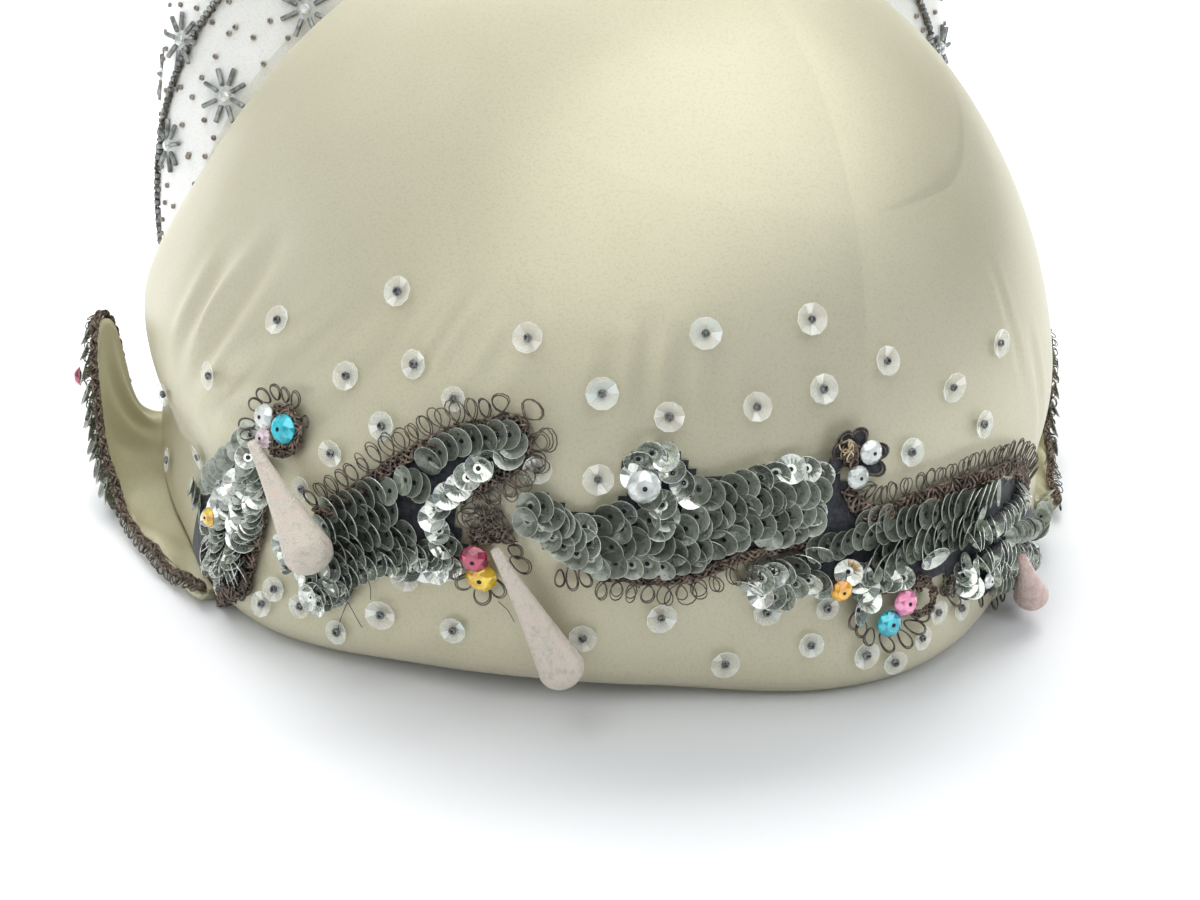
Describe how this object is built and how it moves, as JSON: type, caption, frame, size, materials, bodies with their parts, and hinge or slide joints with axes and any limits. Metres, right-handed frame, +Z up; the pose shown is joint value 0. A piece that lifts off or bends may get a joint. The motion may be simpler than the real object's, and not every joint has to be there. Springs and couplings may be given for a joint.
{
  "type": "hennin headdress",
  "caption": "Padded satin crown with a sequin, gimp and stone trim, side flaps and a white hood rising to a cone; open below for the head.",
  "frame": {"origin": "bottom centre of the whole hat's box, on the table", "axes": "+Z up, the brow towards -Y, the wearer's left at +X"},
  "size_m": [0.2363, 0.3473, 0.3125],
  "materials": {
    "satin_champagne": "satin",
    "satin_white": "satin",
    "gimp_bronze": "metallic thread",
    "sequin_gunmetal": "metallised",
    "sequin_silver": "translucent, metallised",
    "paillette_clear": "clear, iridescent",
    "drop_ivory": "grainy pearl",
    "drop_pink": "grainy pearl",
    "stone_turquoise": "cut and foiled",
    "stone_clear": "cut and foiled",
    "stone_rose": "cut and foiled",
    "stone_red": "cut and foiled",
    "stone_yellow": "cut and foiled",
    "stone_orange": "cut and foiled",
    "stone_pink": "cut and foiled"
  },
  "bodies": {
    "root": {"crown": "satin_champagne", "cone": "satin_white", "hood_edge_braid": "gimp_bronze", "hood_swag_braid": "gimp_bronze", "flap_left": "satin_champagne", "flap_left_braid": "gimp_bronze", "flap_right": "satin_champagne", "flap_right_braid": "gimp_bronze", "leaf_left": "sequin_gunmetal", "leaf_mid": "sequin_gunmetal", "leaf_mid_border": "sequin_silver", "band_mid": "sequin_gunmetal", "cluster_mid": "sequin_silver", "leaf_right": "sequin_gunmetal", "leaf_right_border": "sequin_silver", "cluster_right": "sequin_silver", "cluster_low": "sequin_silver", "strip_side": "sequin_gunmetal", "gimp_left": "gimp_bronze", "gimp_mid": "gimp_bronze", "gimp_knot": "gimp_bronze", "gimp_low": "gimp_bronze", "gimp_right": "gimp_bronze", "rosette_left": "gimp_bronze", "rosette_right": "gimp_bronze", "stone_turquoise_left": "stone_turquoise", "stone_clear_left": "stone_clear", "stone_rose_left": "stone_rose", "stone_red": "stone_red", "stone_yellow": "stone_yellow", "stone_clear_upper": "stone_clear", "stone_clear_lower": "stone_clear", "stone_orange": "stone_orange", "stone_pink": "stone_pink", "stone_turquoise_right": "stone_turquoise", "stone_amber_left": "stone_yellow", "drop_left": "drop_ivory", "drop_front": "drop_ivory", "drop_right": "drop_pink", "paillette_01": "paillette_clear", "paillette_02": "paillette_clear", "paillette_03": "paillette_clear", "paillette_04": "paillette_clear", "paillette_05": "paillette_clear", "paillette_06": "paillette_clear", "paillette_07": "paillette_clear", "paillette_08": "paillette_clear", "paillette_09": "paillette_clear", "paillette_10": "paillette_clear", "paillette_11": "paillette_clear", "paillette_12": "paillette_clear", "paillette_13": "paillette_clear", "paillette_14": "paillette_clear", "paillette_15": "paillette_clear", "paillette_16": "paillette_clear", "paillette_17": "paillette_clear", "paillette_18": "paillette_clear", "paillette_19": "paillette_clear", "paillette_20": "paillette_clear"}
  },
  "joints": []
}
